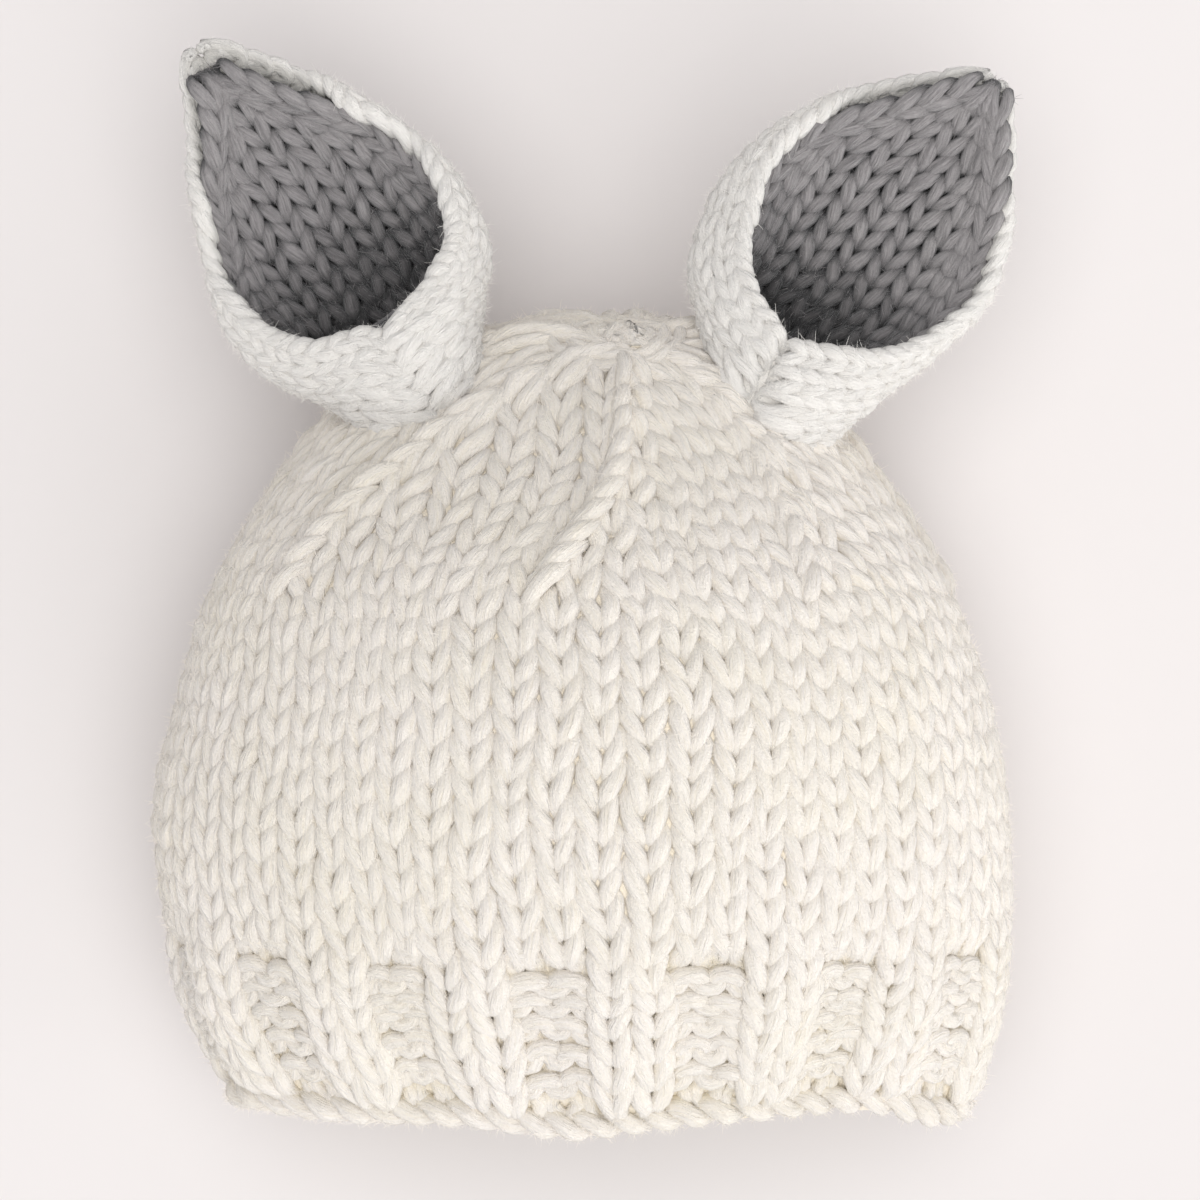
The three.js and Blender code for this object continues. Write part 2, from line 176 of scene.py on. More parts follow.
class Cloth:
    """A face of the fabric on a grid. along counts rows of stitches. across is a share of a closed
    round, or millimetres from a middle line, past which the cloth reaches before and after."""

    def __init__(self, points, normals, first_row, last_row, before=None, after=None):
        self.points, self.normals = points, normals
        self.first_row, self.last_row = first_row, last_row
        self.before, self.after = before, after

    def reach(self, along, side):
        """How far the cloth reaches from its middle line to one side."""
        rows = np.linspace(self.first_row, self.last_row, len(self.points))
        return np.interp(along, rows, self.before if side < 0 else self.after)

    def place(self, across, along, depth):
        """Points at a depth under the face, and the outward normals there."""
        tall, wide = self.points.shape[:2]
        i = (along - self.first_row) / (self.last_row - self.first_row) * (tall - 1)
        i = np.clip(i, 0, tall - 1.001)
        if self.before is None:
            share = across - np.floor(across)
        else:
            before, after = self.reach(along, -1), self.reach(along, 1)
            share = (across + before) / (before + after)
        j = np.clip(share * (wide - 1), 0, wide - 1.001)
        i0, j0 = i.astype(int), j.astype(int)
        s, t = (i - i0)[..., None], (j - j0)[..., None]

        def between(grid):
            low = grid[i0, j0] * (1 - t) + grid[i0, j0 + 1] * t
            high = grid[i0 + 1, j0] * (1 - t) + grid[i0 + 1, j0 + 1] * t
            return low * (1 - s) + high * s

        normals = unit(between(self.normals))
        return between(self.points) - normals * np.asarray(depth)[..., None], normals


def passed_along(rows):
    """How far each point lies along its row of points."""
    steps = np.linalg.norm(np.diff(rows, axis=1), axis=-1)
    return np.concatenate([np.zeros((len(rows), 1)), np.cumsum(steps, axis=1)], axis=1)


def read_rows(rows, passed, wanted):
    """Rows of points or values, read at the wanted lengths along each row."""
    found = [
        [np.interp(lengths, known, part) for part in row.T]
        for row, known, lengths in zip(rows, passed, wanted)
    ]
    return np.moveaxis(np.array(found), 1, -1)


def body_points():
    """The outer face of the plain body, from the rolled edge to the crown's tip."""
    at, rounds = ROW_SHARES, ROUND_SHARES
    half, middle, side_y, side_z, top_y, top_z, under_y, under_z, turn = (
        column[:, None] for column in read(BODY_SECTIONS, at)
    )
    angle = np.linspace(0, TURN, RING_POINTS)
    up, aside = np.cos(angle), np.sin(angle)
    exponent = np.where(up < 0, 2 / LOWER_POWER, 2 / UPPER_POWER)
    share = np.abs(up) ** exponent
    x = middle + half * np.sign(aside) * np.abs(aside) ** exponent
    y = side_y + (np.where(up < 0, under_y, top_y) - side_y) * share
    z = side_z + (np.where(up < 0, under_z, top_z) - side_z) * share
    ring = np.stack(
        [x * HAT_WIDTH / 2, y * HAT_LENGTH - EDGE_TO_ORIGIN, np.maximum(z * HAT_HEIGHT, 0)], -1
    )
    passed = passed_along(ring)
    wanted = (rounds + turn) % 1 * np.maximum(passed[:, -1:], 1e-6)
    points = read_rows(ring, passed, wanted)
    fade = np.maximum(0, 1 - np.maximum(at, 0) / HEM_WAVE_FADE)
    points[..., 1] -= HEM_WAVE * read(HEM_WAVES, rounds)[0] * fade[:, None]
    return points


def relief():
    """How far the ribs and the crown's decrease lines stand out of the body's plain face."""
    at, rounds = ROW_SHARES[:, None], ROUND_SHARES[None]
    rib = -RIB_RELIEF * np.cos(rounds * STITCHES / RIB_REPEAT * TURN)
    rib = rib * (1 - ease(at * ROWS, RIB_ROWS - 0.6, RIB_ROWS + 0.9))
    start = (RIB_ROWS + PLAIN_ROWS) / ROWS
    line = ((1 + np.cos(rounds * SECTORS * TURN)) / 2) ** 8
    return rib + CROWN_RIDGE * line * ease(at, start, (start + 1) / 2)


# The length of a row of an ear's stitches, in millimetres
EAR_ROW = 4.1
# Where an ear's face is measured: shares of its length, and of its way round from rim to rim
EAR_PLACES = np.linspace(-0.21, 1.0, 161)
EAR_ROUND = np.linspace(-1, 1, 401)
EAR_MIDDLE = 200
EVEN_SHARES = np.linspace(0, 1, 161)
# Where the shell's rims part, near the tip
TIP_PARTS = (0.6, 0.8)


def even_rows(fine):
    """Rows of points, spaced evenly along each row, and the rows' lengths."""
    passed = passed_along(fine)
    return read_rows(fine, passed, EVEN_SHARES * passed[:, -1:]), passed


def ear_in_place(side, at, across, up):
    """Points of an ear, from where they lie along it, across it and over its seat."""
    x, y, z, splay = EAR_SEATS[side]
    splay = math.radians(splay)
    out = at * EAR_LENGTH
    aside = x * HAT_WIDTH / 2 + out * math.sin(splay) + across * math.cos(splay)
    ahead = y * HAT_LENGTH - EDGE_TO_ORIGIN + out * math.cos(splay) - across * math.sin(splay)
    return np.stack([aside, ahead, z * HAT_HEIGHT + up], -1)


# The grey lining's outline as it is seen, as shares of half an ear's width, against the share of
# the ear's length: left edge and right edge
SEEN_LININGS = {
    "left": [
        [-0.3, 0.0, 0.0], [0.08, 0.0, 0.0], [0.12, -0.08, 0.36], [0.15, -0.26, 0.5],
        [0.2, -0.44, 0.7], [0.3, -0.62, 0.84], [0.4, -0.67, 0.89], [0.47, -0.69, 0.92],
        [0.55, -0.63, 0.82], [0.67, -0.44, 0.56], [0.75, -0.29, 0.4], [0.84, -0.2, 0.25],
        [0.92, -0.15, 0.12], [0.97, -0.08, 0.06],
    ],
    "right": [
        [-0.3, -0.1, -0.1], [0.08, -0.1, -0.1], [0.12, -0.2, -0.03], [0.15, -0.34, 0.09],
        [0.2, -0.52, 0.26], [0.25, -0.64, 0.45], [0.3, -0.72, 0.59], [0.4, -0.83, 0.71],
        [0.5, -0.865, 0.78], [0.6, -0.83, 0.75], [0.67, -0.71, 0.67], [0.75, -0.55, 0.57],
        [0.84, -0.39, 0.44], [0.9, -0.28, 0.34], [0.97, -0.13, 0.18],
    ],
}


def ear_sections(side, at):
    """An ear's middle, half width, seen lining's edges, lift, and depths below and above."""
    out_left, out_right, lift, below, above = (
        column[:, None] for column in read(EAR_SECTIONS[side], at)
    )
    left, right = (column[:, None] * EAR_WIDTH / 2 for column in read(SEEN_LININGS[side], at))
    middle = (out_right + out_left) / 2 * EAR_WIDTH / 2
    half = (out_right - out_left) / 2 * EAR_WIDTH / 2
    left = np.minimum(left + EAR_SEAM_OVERLAP / 2, middle + half)
    right = np.maximum(right - EAR_SEAM_OVERLAP / 2, middle - half)
    return middle, half, left, right, lift * EAR_DEPTH, below * EAR_DEPTH, above * EAR_DEPTH


def ear_face(side):
    """The shell's outer face, from the left rim under the back to the right rim. Near the tip its
    rims stop at the ear's sides, and the lining lies over them."""
    at = EAR_PLACES
    middle, half, left, right, lift, below, above = ear_sections(side, at)
    open_tip = ease(at, *TIP_PARTS)[:, None]
    left = left + (middle - half - left) * open_tip
    right = right + (middle + half - right) * open_tip
    end_right = math.pi - np.arcsin(np.clip((right - middle) / half, -1, 1))
    end_left = math.pi - np.arcsin(np.clip((middle - left) / half, -1, 1))
    around = EAR_ROUND[None]
    angle = around * np.where(around < 0, end_left, end_right)
    across = middle + half * np.sin(angle)
    up = lift - np.where(np.cos(angle) > 0, below, above) * np.cos(angle)
    points, passed = even_rows(ear_in_place(side, at[:, None], across, up))
    before = passed[:, EAR_MIDDLE]
    normals = face_normals(points, False, -1)
    return Cloth(points, normals, at[0], at[-1], before, passed[:, -1] - before)


# Rows of a shell's half start on the rim, and fan out under the mouth between these shares of the
# ear's length. They are spaced evenly FAN_GAUGE millimetres inside the rim.
RIM_START = 0.985
FAN_START = 0.3
FAN_END = 0.115
FAN_GAUGE = 9.0
RIM_POINTS = 241
REACH_POINTS = 121


def shell_half(ear, side):
    """Half of an ear's shell, its columns running round the mouth beside the rim."""
    rim = np.linspace(RIM_START, FAN_END, RIM_POINTS)
    swung = np.clip((FAN_START - rim) / (FAN_START - FAN_END), 0, 1)
    fanned = FAN_START - (FAN_START - EAR_PLACES[0]) * np.clip(swung * 2, 0, 1)
    end = np.where(swung > 0, fanned, rim)
    end_share = np.clip(swung * 2 - 1, 0, 1)
    t = np.linspace(0, 1, REACH_POINTS)[None]
    at = rim[:, None] + (end - rim)[:, None] * t
    across = side * (1 + (end_share[:, None] - 1) * t) * ear.reach(at, side)
    points, passed = even_rows(ear.place(across, at, np.zeros(at.shape))[0])
    lengths = passed[:, -1]
    even = read_rows(np.stack([across, at], -1), passed, EVEN_SHARES * passed[:, -1:])
    normals = ear.place(even[..., 0], even[..., 1], np.zeros(even.shape[:2]))[1]
    last = len(EVEN_SHARES) - 1
    gauge = points[np.arange(len(rim)), np.minimum(last, (last * FAN_GAUGE / lengths)).astype(int)]
    travelled = passed_along(gauge[None])[0]
    index = np.interp(np.linspace(0, travelled[-1], RIM_POINTS), travelled, np.arange(len(rim)))
    low = np.minimum(index.astype(int), len(rim) - 2)
    s = (index - low)[:, None, None]
    points = points[low] * (1 - s) + points[low + 1] * s
    normals = unit(normals[low] * (1 - s) + normals[low + 1] * s)
    lengths = np.interp(index, np.arange(len(rim)), lengths)
    return Cloth(points, normals, 0, travelled[-1] / EAR_ROW, np.zeros(len(points)), lengths)


# How the lining lies, against the share of the ear's length: how far its edges tuck under the
# rims, how far they lie under the shell's face there, and how high its middle lies over the back
LINING_LAY = [
    [-0.3, 12.0, 3.2, 5.0],
    [0.14, 11.0, 3.2, 5.6],
    [0.22, 5.0, 3.6, 7.2],
    [0.32, 2.4, 3.8, 7.6],
    [0.5, 1.6, 3.0, 7.4],
    [0.62, 0.6, 1.6, 7.2],
    [0.72, -0.4, -0.2, 7.2],
    [0.84, -1.2, -1.4, 7.0],
    [1.0, -1.2, -1.4, 6.0],
]
LINING_START = 0.02
LINING_ENDS = {"left": 0.925, "right": 0.965}
LINING_POINTS = 141
# The least gap between the lining's tucked edge and the shell's side, and the lining's least depth
LINING_GAP = 2.9
LINING_DEPTH = 0.3
# Before these shares of the ear's length the lining's edges lie far under the rims
DEEP_IN_CUP = (0.16, 0.3)
# The higher, the steeper the trough's sides
TROUGH_POWER = 2.6
# The lining's normals lean upwards, so that its yarn doesn't bulge out at the steep edges
LINING_LEAN = [0, 0, 1.5]


def lining_face(side):
    """The lining's seen face: a trough that flattens to the tip."""
    at = np.linspace(LINING_START, LINING_ENDS[side], LINING_POINTS)
    middle, half, left, right, lift, below, above = ear_sections(side, at)
    tuck, sunk, over_back = (column[:, None] for column in read(LINING_LAY, at))
    tucked_left = left - np.minimum(tuck, left - (middle - half) - LINING_GAP)
    tucked_right = right + np.minimum(tuck, middle + half - right - LINING_GAP)
    deep = 1 - ease(at, *DEEP_IN_CUP)[:, None]
    left, right = left + (tucked_left - left) * deep, right + (tucked_right - right) * deep
    rim_left, rim_right = (
        lift + above * np.sqrt(1 - np.clip((edge - middle) / half, -1, 1) ** 2) - sunk
        for edge in (left, right)
    )
    share = EAR_ROUND[None]
    across = tucked_left + (tucked_right - tucked_left) * (share + 1) / 2
    rim = rim_left + (rim_right - rim_left) * (share + 1) / 2
    bottom = np.minimum(lift - below + over_back, rim - LINING_DEPTH)
    up = bottom + (rim - bottom) * np.abs(share) ** TROUGH_POWER
    points, passed = even_rows(ear_in_place(side, at[:, None], across, up))
    before = passed[:, EAR_MIDDLE]
    rows = at[[0, -1]] * EAR_LENGTH / EAR_ROW
    normals = unit(face_normals(points, False) + LINING_LEAN)
    return Cloth(points, normals, rows[0], rows[1], before, passed[:, -1] - before)


class Yarn:
    """Yarn of one thickness. swing is how far a loop's legs stand out of the fabric's middle, and
    swell how much fatter they are there."""

    def __init__(self, radius, swing, swell):
        self.radius, self.swing, self.swell = radius, swing, swell
        self.middle = radius + swing


# Radius and swing in millimetres, and swell as a share
HAT_YARN = Yarn(1.52, 1.1, 0.14)
SHELL_YARN = Yarn(1.12, 0.85, 0.2)
LINING_YARN = Yarn(1.08, 1.45, 0.3)
ROPE_YARN = Yarn(1.75, 1.35, 0)
NECK_YARN = Yarn(1.9, 0.6, 0)

# How far along its yarn a strand may begin, and how long one turn of the yarn's twist is
STRAND_START = 500
TWIST_LENGTH = 60

# Hand-knitted unevenness: waves round the hat and up it, with their size in stitches
UNEVEN = [
    (round_waves, row_waves, size, chance.uniform(0, TURN), chance.uniform(0, TURN))
    for round_waves, row_waves, size in
    [(4, 1.5, 0.07), (9, -2.5, 0.055), (13, 4, 0.045), (17, -6, 0.04), (23, 8, 0.03), (6, 11, 0.035)]
]


def uneven(across, along):
    """How far stitches are drawn aside and up, in stitches and rows."""
    aside, up = 0, 0
    for round_waves, row_waves, size, phase, other_phase in UNEVEN:
        turn = TURN * (round_waves * across + row_waves * along / ROWS)
        aside = aside + size * np.sin(turn + phase)
        up = up + size * np.sin(turn + other_phase)
    return aside, up * ease(along, 0, 1.5)


# Single-ply yarn's lumps: how long they are, and how much thicker than the yarn's mean
LUMP_LENGTHS = (21, 9.7, 5.3, 3.1)
LUMP_SIZES = (0.05, 0.05, 0.04, 0.03)


def lumps(passed):
    """How much thicker the yarn is than its mean, at lengths along it."""
    waves = zip(LUMP_LENGTHS, LUMP_SIZES, chance.uniform(0, TURN, len(LUMP_LENGTHS)))
    return sum(size * np.sin(TURN * passed / length + phase) for length, size, phase in waves)


# How far yarn, stray fibres and sheets stay above the surface
YARN_CLEARANCE = 0.1
HAIR_CLEARANCE = 0.05
CORE_CLEARANCE = 0.8


class Skein:
    """Strands of yarn that become one mesh."""

    sides = 8

    def __init__(self):
        self.points, self.faces, self.fibres, self.painted_shades = [], [], [], []
        self.hairs = []
        self.count = 0

    def add(self, centres, normals, radii, depths, yarn, closed):
        """One strand. depths says how deep each centre lies in the fabric, which sets its painted shade.
        """
        if closed:
            # the last ring lies on the first, and its fibres carry on from the ones before it
            centres, normals, radii, depths = (
                np.concatenate([part, part[:1]]) for part in (centres, normals, radii, depths)
            )
        number = len(centres)
        forward = np.gradient(centres, axis=0)
        if closed:
            forward[[0, -1]] = centres[1] - centres[-2]
        forward = unit(forward)
        aside = unit(np.cross(forward, normals))
        up = np.cross(aside, forward)
        passed = passed_along(centres[None])[0] + chance.uniform(0, STRAND_START)
        radii = radii * (1 + lumps(passed))
        if closed:
            radii[-1] = radii[0]
        theta = np.arange(self.sides) / self.sides * TURN
        spread = np.cos(theta)[:, None] * up[:, None] + np.sin(theta)[:, None] * aside[:, None]
        rings = centres[:, None] + radii[:, None, None] * spread
        rings[..., 2] = np.maximum(rings[..., 2], YARN_CLEARANCE)
        turned = theta[None] + passed[:, None] / TWIST_LENGTH * TURN
        along = np.repeat(passed[:, None], self.sides, axis=1)
        fibre = np.stack([yarn.radius * np.cos(turned), yarn.radius * np.sin(turned), along], -1)
        # painted shade: the deeper a point lies in the fabric, the more of the wool's deep colour it
        # takes
        painted_shade = (depths[:, None] - radii[:, None] * np.cos(theta)[None]) / (2 * yarn.middle)
        grid = np.arange(number * self.sides).reshape(number, self.sides) + self.count
        beside = np.roll(grid, -1, axis=1)
        quads = [grid[:-1], beside[:-1], beside[1:], grid[1:]]
        self.faces.append(np.stack(quads, -1).reshape(-1, 4))
        self.points.append(rings.reshape(-1, 3))
        self.fibres.append(fibre.reshape(-1, 3))
        self.painted_shades.append(np.clip(painted_shade, 0, 1).reshape(-1))
        self.hairs.append((centres, forward, up, aside, radii))
        self.count += number * self.sides

    def piece(self, name, slot, *nodes):
        """The strands as one piece, which stands for the named nodes."""
        made = mesh_piece(name, np.concatenate(self.points), np.concatenate(self.faces), slot, nodes)
        fibre = made.data.attributes.new("fibre", "FLOAT_VECTOR", "POINT")
        fibre.data.foreach_set("vector", np.concatenate(self.fibres).astype(np.float32).ravel())
        paint_shade(made, np.concatenate(self.painted_shades))


def paint_shade(made, painted_shades):
    """Paints shade on a piece: how much of its wool's deep colour each of its points takes as painted
    shade.
    """
    painted_shade = made.data.attributes.new("painted_shade", "FLOAT", "POINT")
    painted_shade.data.foreach_set("value", painted_shades.astype(np.float32))


def mesh_piece(name, points, faces, slot, nodes):
    """A smooth mesh of quads, in millimetres, of a slot's wool. It stands for the named nodes."""
    mesh = bpy.data.meshes.new(name)
    mesh.vertices.add(len(points))
    mesh.vertices.foreach_set("co", (points * MM).astype(np.float32).ravel())
    mesh.loops.add(faces.size)
    mesh.loops.foreach_set("vertex_index", faces.astype(np.int32).ravel())
    mesh.polygons.add(len(faces))
    mesh.polygons.foreach_set("loop_start", np.arange(0, faces.size, 4, dtype=np.int32))
    mesh.update(calc_edges=True)
    mesh.shade_smooth()
    mesh.materials.append(WOOLS[slot])
    made = bpy.data.objects.new(name, mesh)
    bpy.context.scene.collection.objects.link(made)
    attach(made, "root")
    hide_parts(*nodes)
    return made


# Stray fibres in millimetres. Real ones are 0.03 mm wide and are drawn wider, so that they show.
HAIR_WIDTH = 0.08
HAIR_LENGTHS = (0.7, 2.1)
HAIR_TAPER = 0.3
HAIR_ROOT = 0.85
# Yarn that faces further down than this grows no fibres that can be seen
HAIR_FACING = -0.3
HAIR_NUMBERS = {"body": 80000, "band": 25000, "shell": 12000, "lining": 8000}


def fuzz(name, skeins, number, slot, *nodes):
    """Fine stray fibres that stand out of the yarn, as narrow ribbons."""
    strands = [strand for skein in skeins for strand in skein.hairs]
    centres, forward, up, aside, radii = (np.concatenate(part) for part in zip(*strands))
    shown = np.flatnonzero(up[:, 2] > HAIR_FACING)
    chosen = chance.choice(shown, number)
    turned = chance.normal(0, 0.75, (number, 1))
    out = np.cos(turned) * up[chosen] + np.sin(turned) * aside[chosen]
    root = centres[chosen] + out * radii[chosen, None] * HAIR_ROOT
    root = root + forward[chosen] * chance.uniform(-0.5, 0.5, (number, 1))
    way = forward[chosen] * chance.choice([-1, 1], (number, 1)) * chance.uniform(0.4, 1.4, (number, 1))
    way = unit(out * chance.uniform(0.35, 1.0, (number, 1)) + way + chance.normal(0, 0.35, (number, 3)))
    length = chance.uniform(*HAIR_LENGTHS, (number, 1))
    width = HAIR_WIDTH / 2 * unit(np.cross(way, chance.normal(0, 1, (number, 3))))
    end = root + way * length
    tapered = width * HAIR_TAPER
    points = np.stack([root - width, root + width, end + tapered, end - tapered], 1)
    points[..., 2] = np.maximum(points[..., 2], HAIR_CLEARANCE)
    faces = np.arange(number * 4).reshape(number, 4)
    mesh_piece(name, points.reshape(-1, 3), faces, slot, nodes)


# A loop of yarn: its points, how far its legs lean together, and its height in rows. It reaches
# from its feet through its middle to its heads.
LOOP_POINTS = 18
LEG_LEAN = 0.235
KNIT_HEIGHT = 1.06
PURL_HEIGHT = 0.8
PURL_SWELL = 0.1
LOOP_LEVELS = 0.5 + np.array([-1, 0, 1])
# Yarn passes from one kind of stitch to the next over this share of a loop
KIND_CHANGE = 1 / 8
# How much loops vary, as a hand knits them
VARIED_ACROSS = 0.035
VARIED_ALONG = 0.06
VARIED_HEIGHT = 0.04
VARIED_DEPTH = 0.14
VARIED_THICKNESS = 0.08
# Open rows turn in at their ends, and take less painted shade there, over some points
TURNED_IN = 2.2
TURNED_POINTS = 9
END_SHADE_SHARE = 0.25
END_SHADE_POINTS = 14
# A cut strand needs this many points, and its ends taper to these shares of its thickness
SHORTEST_STRAND = 6
END_TAPER = [0.15, 0.75]


def knit(
    skein, cloth, yarn, row, left, right, kinds=1, lift=0, gauge=1, closed=False, keep=None, shaded=0
):
    """Adds a row of stitches to a skein. left and right hold each stitch's sides at its feet, middle
    and heads, kinds are 1 for knit and -1 for purl stitches, lift raises stitches, gauge thickens
    them, shaded adds painted shade as if they lay deeper, and keep says which points an open row
    keeps."""
    count = len(left)
    t = np.arange(LOOP_POINTS) / LOOP_POINTS
    if not closed:
        t = np.append(t, 1 - 1e-6)
    share = t + LEG_LEAN * np.sin(2 * TURN * t)
    rise = -np.cos(TURN * t)
    weights = np.stack([rise * (rise - 1) / 2, 1 - rise**2, rise * (rise + 1) / 2])
    swell = np.sin(math.pi * t) ** 2
    left, right = left @ weights, right @ weights
    width = right - left
    jitter = chance.normal(0, 1, (5, count, 1))
    across = left + width * (share + VARIED_ACROSS * jitter[0] * swell)
    kinds = np.broadcast_to(kinds, count).astype(float)[:, None]
    before, after = (np.roll(kinds, step, axis=0) - kinds for step in (1, -1))
    near, far = (np.clip(1 - gap / KIND_CHANGE, 0, 1) for gap in (t, 1 - t))
    kind = kinds + before / 2 * near + after / 2 * far
    height = PURL_HEIGHT + (KNIT_HEIGHT - PURL_HEIGHT) * (kind + 1) / 2
    height = height + VARIED_HEIGHT * jitter[1] * swell
    along = row + 0.5 + rise * height + VARIED_ALONG * jitter[2] * swell
    front = -np.cos(2 * TURN * t) * kind
    lift, gauge = (np.asarray(part, float).reshape(-1, 1) for part in (lift, gauge))
    depth = yarn.middle - yarn.swing * front - lift * swell + VARIED_DEPTH * jitter[3] * swell
    thick = (1 + (gauge - 1) * swell) * (1 + VARIED_THICKNESS * jitter[4] * swell)
    thick = thick * (1 + PURL_SWELL * (1 - kind) / 2)
    radii = yarn.radius * thick * (1 - yarn.swell * np.cos(2 * TURN * t))
    parts = (across, along, depth, radii)
    if closed:
        across, along, depth, radii = (part.ravel() for part in parts)
        aside, up = uneven(across, along)
        across, along = across + aside / STITCHES, along + up
    else:
        across, along, depth, radii = (
            np.concatenate([part[:, :-1].ravel(), part[-1, -1:]]) for part in parts
        )
        turned = TURNED_IN * np.linspace(1, 0, TURNED_POINTS) ** 2
        across[:TURNED_POINTS] += turned
        across[-TURNED_POINTS:] -= turned[::-1]
    centres, normals = cloth.place(across, along, depth)
    centres[:, 2] = np.maximum(centres[:, 2], radii)
    # from here depth only sets the stitches' painted shade
    depth = depth + shaded
    if closed:
        skein.add(centres, normals, radii, depth, yarn, True)
        return
    # less painted shade towards an open row's ends
    end_shade = np.linspace(END_SHADE_SHARE, 1, END_SHADE_POINTS)
    depth[:END_SHADE_POINTS] *= end_shade
    depth[-END_SHADE_POINTS:] *= end_shade[::-1]
    edges = np.flatnonzero(np.diff(np.concatenate([[0], keep(centres).astype(int), [0]])))
    for start, stop in edges.reshape(-1, 2):
        if stop - start < SHORTEST_STRAND:
            continue
        ends = np.ones(stop - start)
        ends[[0, 1]] = ends[[-1, -2]] = END_TAPER
        run = slice(start, stop)
        skein.add(centres[run], normals[run], radii[run] * ends, depth[run], yarn, False)


# Materials

# Loosely spun single-ply wool, knitted by hand: its crimped fibres scatter the light, so the eye
# sees no shine, only a faint sheen
WOOL_IOR = 1.54
WOOL_SPECULAR = 0.25
WOOL_ROUGHNESS = (0.82, 0.98)
SHEEN_ROUGHNESS = 0.6
# Widths and lengths along the yarn, in millimetres. Fibres lie in bundles 0.9 mm wide. They are
# 0.03 mm wide, and are drawn 0.25 mm wide so that they show.
BUNDLE_SIZE = (0.9, 9.0)
FIBRE_SIZE = (0.25, 3.0)
# Crimp is 0.1 mm wide, and is drawn 0.35 mm wide so that it shows
CRIMP_SIZE = 0.35
DYE_PATCH_SIZE = 25
BUMP_STRENGTH = 0.8
BUMP_DEPTH = 1.6
FIBRE_BUMP = 0.45
CRIMP_BUMP = 0.3


def linear(hex_colour):
    """An sRGB hex colour as linear red, green, blue and alpha."""
    parts = [int(hex_colour[i : i + 2], 16) / 255 for i in (1, 3, 5)]
    parts = [p / 12.92 if p <= 0.04045 else ((p + 0.055) / 1.055) ** 2.4 for p in parts]
    return (*parts, 1)


def node(tree, kind, inputs=None, **settings):
    """Adds a node with its settings, and sets or links its inputs."""
    made = tree.nodes.new(kind)
    for name, value in settings.items():
        setattr(made, name, value)
    fill(tree, made, inputs or {})
    return made


def fill(tree, made, inputs):
    """Sets or links a node's inputs."""
    for socket, value in inputs.items():
        if isinstance(value, bpy.types.NodeSocket):
            tree.links.new(value, made.inputs[socket])
        else:
            made.inputs[socket].default_value = value


def wool(name, base, deep, pale, streak, shade, shade_range, sheen):
    """Hand-knitted wool with bundles of fibres, patchy dye and painted shade. streak and shade are how
    much of the deep colour lies between fibres and, as painted shade, in hollows, which take it on
    between shade_range's values."""
    material = bpy.data.materials.new(name)
    material.use_nodes = True
    tree = material.node_tree
    fibre = node(tree, "ShaderNodeAttribute", attribute_name="fibre").outputs["Vector"]
    painted_shade = node(tree, "ShaderNodeAttribute", attribute_name="painted_shade").outputs["Fac"]
    place = node(tree, "ShaderNodeTexCoord").outputs["Object"]
    noises = []
    for across, along in (BUNDLE_SIZE, FIBRE_SIZE):
        scale = (1 / across, 1 / across, 1 / along)
        drawn = node(tree, "ShaderNodeVectorMath", {0: fibre, 1: scale}, operation="MULTIPLY")
        inputs = {"Vector": drawn.outputs[0], "Scale": 1.0, "Detail": 4.0, "Roughness": 0.65}
        noises.append(node(tree, "ShaderNodeTexNoise", inputs).outputs["Fac"])
    bundles, fibres = noises
    inputs = {"Vector": place, "Scale": 1 / (DYE_PATCH_SIZE * MM)}
    patches = node(tree, "ShaderNodeTexNoise", inputs).outputs["Fac"]
    inputs = {"Vector": place, "Scale": 1 / (CRIMP_SIZE * MM), "Detail": 3.0}
    crimp = node(tree, "ShaderNodeTexNoise", inputs).outputs["Fac"]

    # each layer's pattern, the values between which it grows, and how strong it gets; the last layer is
    # painted shade in the hollows
    layers = [
        (patches, 0.35, 0.65, 1, pale),
        (fibres, 0.6, 0.3, streak, deep),
        (bundles, 0.5, 0.3, streak, deep),
        (painted_shade, *shade_range, shade, deep),
    ]
    colour = linear(base)
    for pattern, none, full, most, layer in layers:
        inputs = {"Value": pattern, "From Min": none, "From Max": full, "To Min": 0, "To Max": most}
        amount = node(tree, "ShaderNodeMapRange", inputs)
        inputs = {"Factor": amount.outputs[0], "A": colour, "B": linear(layer)}
        colour = node(tree, "ShaderNodeMix", inputs, data_type="RGBA").outputs[2]

    inputs = {0: fibres, 1: FIBRE_BUMP, 2: bundles}
    fine = node(tree, "ShaderNodeMath", inputs, operation="MULTIPLY_ADD")
    inputs = {0: crimp, 1: CRIMP_BUMP, 2: fine.outputs[0]}
    height = node(tree, "ShaderNodeMath", inputs, operation="MULTIPLY_ADD")
    inputs = {"Strength": BUMP_STRENGTH, "Distance": BUMP_DEPTH * MM, "Height": height.outputs[0]}
    bump = node(tree, "ShaderNodeBump", inputs)
    inputs = {"Value": fibres, "To Min": WOOL_ROUGHNESS[0], "To Max": WOOL_ROUGHNESS[1]}
    rough = node(tree, "ShaderNodeMapRange", inputs)
    surface = {
        "Base Color": colour,
        "Normal": bump.outputs[0],
        "Roughness": rough.outputs[0],
        "IOR": WOOL_IOR,
        "Specular IOR Level": WOOL_SPECULAR,
        "Sheen Weight": sheen,
        "Sheen Roughness": SHEEN_ROUGHNESS,
    }
    fill(tree, tree.nodes["Principled BSDF"], surface)
    return material


def matt_paper():
    """Uncoated matt paper, pressed smooth: it has no shine and shows the hat's soft shadow."""
    material = bpy.data.materials.new("matt paper")
    material.use_nodes = True
    surface = {"Base Color": linear("#e0dbd9"), "Roughness": 0.9}
    fill(material.node_tree, material.node_tree.nodes["Principled BSDF"], surface)
    return material


